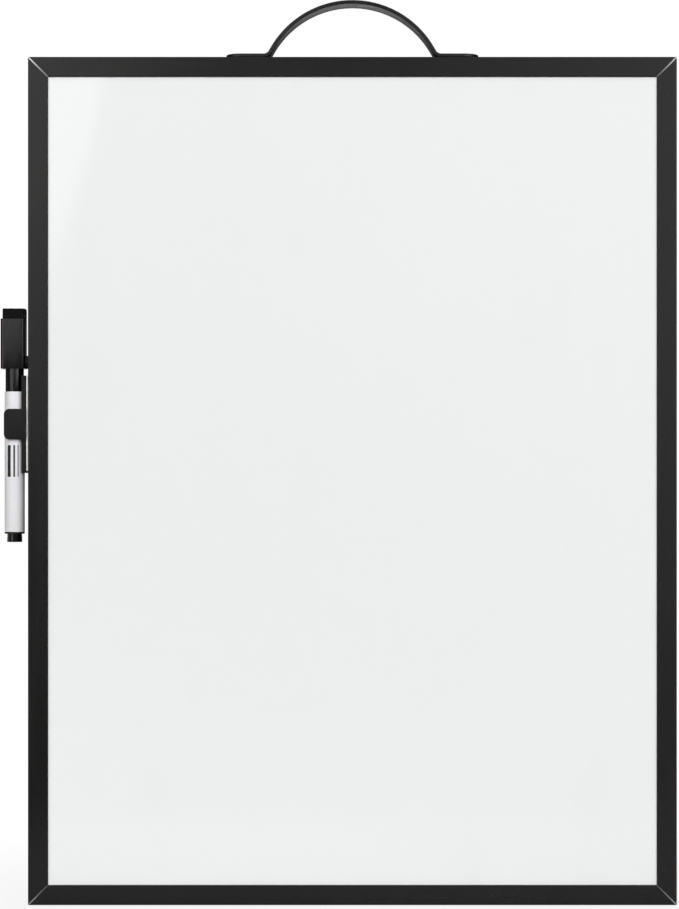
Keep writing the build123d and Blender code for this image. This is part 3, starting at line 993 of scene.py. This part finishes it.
def cap_body(settings):
    """The cap: a square block with swelling sides, a magnet's boss and a bore for the neck."""
    low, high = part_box("marker_cap")
    felt_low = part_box("eraser_felt")[0]
    magnet_low, magnet_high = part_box("cap_magnet")
    axis = axis_place("marker_barrel").translation
    half_depth = high.y
    middle = low.x + half_depth
    top = felt_low.z
    crown = settings.crown
    corner = settings.corner
    flat = half_depth - corner
    corner_steps, side_steps = 8, 12
    angles = [math.pi / 2 * step / corner_steps for step in range(corner_steps, -1, -1)]
    quarter = [(flat + corner * math.sin(a), flat + corner * math.cos(a)) for a in angles]
    side = [(flat * (1 - 2 * step / side_steps), half_depth) for step in range(1, side_steps)]
    outline = []
    for turn in range(4):
        spin = Matrix.Rotation(math.pi / 2 * turn, 2)
        for x, y in quarter + side:
            swell = crown * (min(abs(x), flat) / flat) ** 2 if y == half_depth else crown
            outline.append(Vector((middle, 0)) + spin @ (Vector((x, y)) * (1 - swell / half_depth)))
    cap = soft_prism("marker_cap_body", outline, low.z, top, settings.edge)
    boss_z = (magnet_low.z + magnet_high.z) / 2
    magnet_radius = (magnet_high.z - magnet_low.z) / 2
    boss = circle((0, boss_z), settings.boss)
    combine(cap, soft_prism("boss", boss, middle, high.x, 0.2 * MM, SIDEWAYS), "UNION")
    pocket = prism("pocket", circle((0, boss_z), magnet_radius + 0.05 * MM), magnet_low.x,
                   high.x + 1 * MM, SIDEWAYS)
    combine(cap, pocket, "DIFFERENCE")
    neck = bpy.context.scene.board.marker.neck_radius + 0.05 * MM
    mouth = 0.3 * MM
    bore = rounded([
        (0, low.z - mouth, 0), (neck + 2 * mouth, low.z - mouth, 0), (neck, low.z + mouth, 0),
        (neck, low.z + settings.bore_length, 0),
        (settings.chamber, low.z + settings.bore_length, 0),
        (settings.chamber, top - settings.top, 0), (0, top - settings.top, 0),
    ])
    combine(cap, lathe("bore", bore, Matrix.Translation((axis.x, axis.y, 0)), 80), "DIFFERENCE")
    stud = prism("stud", circle((axis.x, axis.y), settings.stud), top - 0.5 * MM,
                 top + settings.stud_height)
    combine(cap, stud, "UNION")
    return cap


def magnet_disc():
    """The magnet that is pressed into the boss."""
    low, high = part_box("cap_magnet")
    radius = (high.z - low.z) / 2
    outline = circle((0, (low.z + high.z) / 2), radius, 64)
    return soft_prism("magnet_disc", outline, low.x, high.x, 0.2 * MM, SIDEWAYS)


def felt_block(settings, cell=0.19 * MM):
    """The eraser: a felt block whose surface is uneven, pushed onto the cap's stud."""
    low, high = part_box("eraser_felt")
    outline = rectangle((low.x, low.y), (high.x, high.y), settings.felt_round, 8)
    felt = soft_prism("felt_block", outline, low.z, high.z, 0.35 * MM)
    axis = axis_place("marker_barrel").translation
    hole = prism("hole", circle((axis.x, axis.y), settings.stud + 0.05 * MM), low.z - 1 * MM,
                 low.z + settings.stud_height + 0.05 * MM)
    combine(felt, hole, "DIFFERENCE")
    grid = felt.modifiers.new("Grid", "REMESH")
    grid.mode = "VOXEL"
    grid.voxel_size = cell
    settle(felt)
    mesh_edit = bmesh.new()
    mesh_edit.from_mesh(felt.data)
    mesh_edit.normal_update()
    for vertex in mesh_edit.verts:
        coarse = noise.noise(vertex.co / (1.3 * MM))
        fine = noise.noise(vertex.co / (0.4 * MM))
        depth = settings.nap * (0.5 * coarse + 0.5 * fine - 0.6)
        if vertex.co.z > low.z + 2 * cell:
            vertex.co += vertex.normal * depth
    mesh_edit.to_mesh(felt.data)
    mesh_edit.free()
    return felt


# ----------------------------------------------------------------- operators
class BOARD_OT_rails(bpy.types.Operator):
    """Coat the four mitred rails and leave their sawn faces bare"""

    bl_idname = "board.rails"
    bl_label = "Frame rails"

    def execute(self, context):
        board = context.scene.board
        level = coated_rail(board.rail, "X")
        upright = coated_rail(board.rail, "Z")
        dress("top_rail", level)
        dress("bottom_rail", level)
        dress("left_rail", upright)
        dress("right_rail", upright)
        return {"FINISHED"}


class BOARD_OT_panel(bpy.types.Operator):
    """Build the two lacquered writing sheets and finish the core between them"""

    bl_idname = "board.panel"
    bl_label = "Writing panel"

    def execute(self, context):
        board = context.scene.board
        lacquer = writing_lacquer(board.panel)
        for node in ("front_writing_sheet", "back_writing_sheet"):
            present(writing_sheet(node, board.panel), lacquer, "writing_white", "board", node)
        dress("panel_core", cardboard(board.panel))
        return {"FINISHED"}


class BOARD_OT_handle(bpy.types.Operator):
    """Bend the strap handle and drive its two screws"""

    bl_idname = "board.handle"
    bl_label = "Carry handle"

    def execute(self, context):
        settings = context.scene.board.handle
        present(bent_strap(settings), strap_paint(settings), "handle_black", "board", "handle")
        low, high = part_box("handle_screws")
        pick = random.Random(5)
        screws = [
            screw("screw", settings.screw_head, settings.screw_shank, high.z - low.z,
                  Matrix.Translation(spot), pick.uniform(0, math.pi))
            for spot in handle_spots()
        ]
        steel = metal("blackened_steel", settings.screw, 0.36)
        present(joined("handle_screw_pair", screws), steel, "screw_steel", "board", "handle_screws")
        return {"FINISHED"}


class BOARD_OT_corners(bpy.types.Operator):
    """Drive the eight corner screws and finish the keys and nut plates inside the rails"""

    bl_idname = "board.corners"
    bl_label = "Corner screws and keys"

    def execute(self, context):
        settings = context.scene.board.corner
        screws_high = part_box("corner_screws")[1]
        rail_low, rail_high = cad_rails()
        edge = rail_high.x - (screws_high.x - settings.head)
        facing_back = Matrix.Rotation(-math.pi / 2, 4, "X")
        pick = random.Random(8)
        screws = []
        for side in (-1, 1):
            corner_x = side * rail_high.x
            for corner_z, up in ((rail_high.z, -1), (rail_low.z, 1)):
                for across, along in ((settings.inset, edge), (edge, settings.inset)):
                    spot = (corner_x - side * across, screws_high.y, corner_z + up * along)
                    place = Matrix.Translation(spot) @ facing_back
                    turn = pick.uniform(0, math.pi)
                    screws.append(screw("screw", settings.head, settings.shank, settings.length,
                                        place, turn))
        present(joined("corner_screw_set", screws), metal("zinc_steel", settings.steel, 0.3),
                "screw_steel", "board", "corner_screws")
        nylon = moulded("key_nylon", settings.key, 0.5, 0.6 * MM)
        for corner in ("top_left", "top_right", "bottom_left", "bottom_right"):
            dress(f"corner_key_{corner}", nylon)
        dress("handle_nut_plates", metal("plated_steel", settings.steel, 0.38, 0.3 * MM))
        return {"FINISHED"}


class BOARD_OT_clip(bpy.types.Operator):
    """Mould the marker clip and lay the foam tape behind it"""

    bl_idname = "board.clip"
    bl_label = "Marker clip"

    def execute(self, context):
        settings = context.scene.board.clip
        plastic = moulded("clip_plastic", settings.plastic, settings.roughness,
                          Specular_IOR_Level=0.25)
        present(clip_body(settings), plastic, "clip_black", "board", "marker_holder")
        strip = foam_strip()
        present(strip, foam("tape_foam", settings.tape), "tape_foam", "board", "holder_foam_tape")
        return {"FINISHED"}


class BOARD_OT_marker(bpy.types.Operator):
    """Make the marker's barrel, plug, neck and nib"""

    bl_idname = "board.marker"
    bl_label = "Marker"

    def execute(self, context):
        settings = context.scene.board.marker
        black = moulded("gloss_black", settings.black, 0.15, 0.9 * MM, 0.004 * MM)
        present(barrel_tube(settings), printed_barrel(settings), "barrel_white", "marker",
                "marker_barrel")
        present(end_plug(settings), black, "marker_black", "marker", "marker_end_plug")
        present(neck_front(settings), black, "marker_black", "marker", "marker_neck")
        nib = fibre("nib_fibre", settings.ink)
        present(fibre_nib(settings), nib, "nib_fibre", "marker", "marker_nib")
        dress("ink_reservoir", fibre("reservoir_fibre", settings.ink, 0.3 * MM, 0.05))
        return {"FINISHED"}


class BOARD_OT_cap(bpy.types.Operator):
    """Make the cap with its magnet and its felt eraser"""

    bl_idname = "board.cap"
    bl_label = "Cap and eraser"

    def execute(self, context):
        settings = context.scene.board.cap
        plastic = moulded("cap_plastic", settings.plastic, settings.roughness, 0.7 * MM, 0.005 * MM,
                          Specular_IOR_Level=0.42)
        present(cap_body(settings), plastic, "marker_black", "cap", "marker_cap")
        nickel = metal("magnet_nickel", settings.magnet, 0.2)
        present(magnet_disc(), nickel, "magnet_nickel", "cap", "cap_magnet")
        felt = felt_block(settings)
        present(felt, fibre("eraser_felt", settings.felt, 0.2 * MM, 1.0), "eraser_black", "cap",
                "eraser_felt", smooth=180)
        dress("cap_seal", moulded("seal_rubber", settings.seal, 0.6))
        return {"FINISHED"}


# --------------------------------------------------------------------- stage
# Name, shape, width and height in metres, place, what it faces, brightness, colour, and whether
# gloss shows it
SOFTBOXES = (
    ("key_softbox", "DISK", (1.92, 1.92), (-1.175, -1.3, 0.76), (-1.175, 0, 0.76), 1.25,
     (1.0, 1.0, 0.985), True),
    ("side_softbox", "RECTANGLE", (1.1, 1.3), (0.94, -1.2, 0.76), (0.1, 0, 0.3), 1.75,
     (0.985, 0.98, 1.0), True),
    ("top_softbox", "RECTANGLE", (2.4, 1.2), (0.0, -0.2, 1.8), (0, 0, 0), 0.85,
     (1.0, 1.0, 1.0), True),
    ("fill_softbox", "RECTANGLE", (2.0, 1.4), (-0.1, -2.2, 0.9), (0, 0, 0.2), 1.65,
     (1.0, 1.0, 1.0), False),
    ("back_softbox", "RECTANGLE", (2.2, 1.6), (0.0, 1.9, 1.2), (0, 0, 0.2), 2.0,
     (1.0, 1.0, 1.0), False),
)


def softbox(name, shape, size, place, target, brightness, colour, in_gloss):
    """A soft lamp of an even brightness, turned towards its target."""
    lamp = bpy.data.lights.new(name, "AREA")
    lamp.shape = shape
    lamp.size, lamp.size_y = size
    share_of_box = math.pi / 4 if shape == "DISK" else 1.0
    lamp.energy = 4 * size[0] * size[1] * share_of_box * brightness
    lamp.color = colour
    holder = bpy.data.objects.new(name, lamp)
    holder.location = place
    holder.rotation_euler = (Vector(target) - Vector(place)).to_track_quat("-Z", "Y").to_euler()
    holder.visible_glossy = in_gloss
    bpy.context.scene.collection.objects.link(holder)


def mirrored_ray(path):
    """1 where gloss or glass is what looks, from a Light Path node."""
    return maths(path.id_data, "MAXIMUM", path.outputs["Is Glossy Ray"],
                 path.outputs["Is Transmission Ray"])


def studio_world(settings, scrim_core=0.05):
    """A dim room with a glowing scrim, white to the camera, and with a pale backdrop in gloss."""
    world = bpy.data.worlds.new("studio")
    world.use_nodes = True
    tree = world.node_tree
    path = tree.nodes.new("ShaderNodeLightPath")
    direction = tree.nodes.new("ShaderNodeTexCoord").outputs["Generated"]
    along = tree.nodes.new("ShaderNodeVectorMath")
    along.operation = "DOT_PRODUCT"
    tree.links.new(direction, along.inputs[0])
    along.inputs[1].default_value = Vector(settings.scrim_side).normalized()
    angle = maths(tree, "ARCCOSINE", along.outputs["Value"])
    glow = remap(tree, angle, scrim_core, settings.scrim_reach, settings.scrim, 0.0)
    room = maths(tree, "ADD", glow, settings.ambient)
    behind = maths(tree, "GREATER_THAN", axes(tree, direction)["Y"], 0.0)
    reflected = maths(tree, "MULTIPLY", mirrored_ray(path), behind)
    backdrop = maths(tree, "MULTIPLY", reflected, settings.backdrop)
    seen = maths(tree, "MAXIMUM", path.outputs["Is Camera Ray"], backdrop)
    background = tree.nodes["Background"]
    tree.links.new(maths(tree, "MAXIMUM", seen, room), background.inputs["Strength"])
    background.inputs["Color"].default_value = (1, 1, 1, 1)
    bpy.context.scene.world = world


def floor_material(settings, near=0.12, far=0.33, near_glow=0.85, sweep_start=0.9):
    """A pale floor that looks white, keeps the board's shadow, and glows in far reflections."""
    material = bpy.data.materials.new("pale_floor")
    material.use_nodes = True
    tree = material.node_tree
    shader = tree.nodes["Principled BSDF"]
    shader.inputs["Base Color"].default_value = (*settings.floor, 1)
    shader.inputs["Roughness"].default_value = 0.9
    shader.inputs["Specular IOR Level"].default_value = 0.0
    white = tree.nodes.new("ShaderNodeEmission")
    place = tree.nodes.new("ShaderNodeTexCoord")
    distance = tree.nodes.new("ShaderNodeVectorMath")
    distance.operation = "LENGTH"
    tree.links.new(place.outputs["Object"], distance.inputs[0])
    away = distance.outputs["Value"]
    path = tree.nodes.new("ShaderNodeLightPath")
    glow = remap(tree, away, near, far, near_glow, 1.0)
    seen = maths(tree, "MULTIPLY", path.outputs["Is Camera Ray"], glow)
    distant = maths(tree, "GREATER_THAN", away, sweep_start)
    reflected = maths(tree, "MULTIPLY", mirrored_ray(path), distant)
    sweep = maths(tree, "MULTIPLY", reflected, settings.sweep)
    mix = tree.nodes.new("ShaderNodeMixShader")
    tree.links.new(maths(tree, "MAXIMUM", seen, sweep), mix.inputs["Fac"])
    tree.links.new(shader.outputs[0], mix.inputs[1])
    tree.links.new(white.outputs[0], mix.inputs[2])
    tree.links.new(mix.outputs[0], tree.nodes["Material Output"].inputs["Surface"])
    return material


class BOARD_OT_stage(bpy.types.Operator):
    """Set the floor, the soft lamps and the camera"""

    bl_idname = "board.stage"
    bl_label = "Stage"

    def execute(self, context):
        settings = context.scene.board.stage
        reach = settings.floor_reach
        low = cad_rails()[0]
        sheet = [Vector(point) for point in (
            (-reach, low.y - settings.floor_front), (reach, low.y - settings.floor_front),
            (reach, reach), (-reach, reach))]
        floor = prism("floor", sheet, -20 * MM, -0.05 * MM)
        floor.data.materials.append(floor_material(settings))
        for box in SOFTBOXES:
            softbox(*box)
        studio_world(settings)
        camera = bpy.data.cameras.new("camera")
        camera.lens = settings.focal_length
        camera.shift_x, camera.shift_y = settings.shift
        holder = bpy.data.objects.new("camera", camera)
        holder.location = (0, low.y - settings.distance, settings.camera_height)
        holder.rotation_euler = (math.pi / 2, 0, 0)
        scene = bpy.context.scene
        scene.collection.objects.link(holder)
        scene.camera = holder
        scene.view_settings.view_transform = "Standard"
        return {"FINISHED"}


OPERATORS = (
    BOARD_OT_rails,
    BOARD_OT_panel,
    BOARD_OT_handle,
    BOARD_OT_corners,
    BOARD_OT_clip,
    BOARD_OT_marker,
    BOARD_OT_cap,
    BOARD_OT_stage,
)


class BOARD_PT_build(bpy.types.Panel):
    """The board's operators, with the sizes and colours that they use"""

    bl_label = "Dry-erase board"
    bl_space_type = "VIEW_3D"
    bl_region_type = "UI"
    bl_category = "Board"

    def draw(self, context):
        layout = self.layout
        for operator in OPERATORS:
            layout.operator(operator.bl_idname)
        for group, kind in SETTINGS.items():
            box = layout.box()
            box.label(text=group.title())
            settings = getattr(context.scene.board, group)
            for name in kind.__annotations__:
                box.prop(settings, name)


CLASSES = (*SETTINGS.values(), BoardSettings, *OPERATORS, BOARD_PT_build)


def register():
    """Makes the settings, operators and panel known."""
    for kind in CLASSES:
        bpy.utils.register_class(kind)
    bpy.types.Scene.board = PointerProperty(type=BoardSettings)


def unregister():
    """Takes them away again."""
    del bpy.types.Scene.board
    for kind in reversed(CLASSES):
        bpy.utils.unregister_class(kind)


def main():
    """Builds the board on its stage."""
    register()
    for operator in OPERATORS:
        name = operator.bl_idname.removeprefix("board.")
        if getattr(bpy.ops.board, name)() != {"FINISHED"}:
            raise RuntimeError(f"{operator.bl_label} did not finish")


if __name__ == "__main__":
    main()
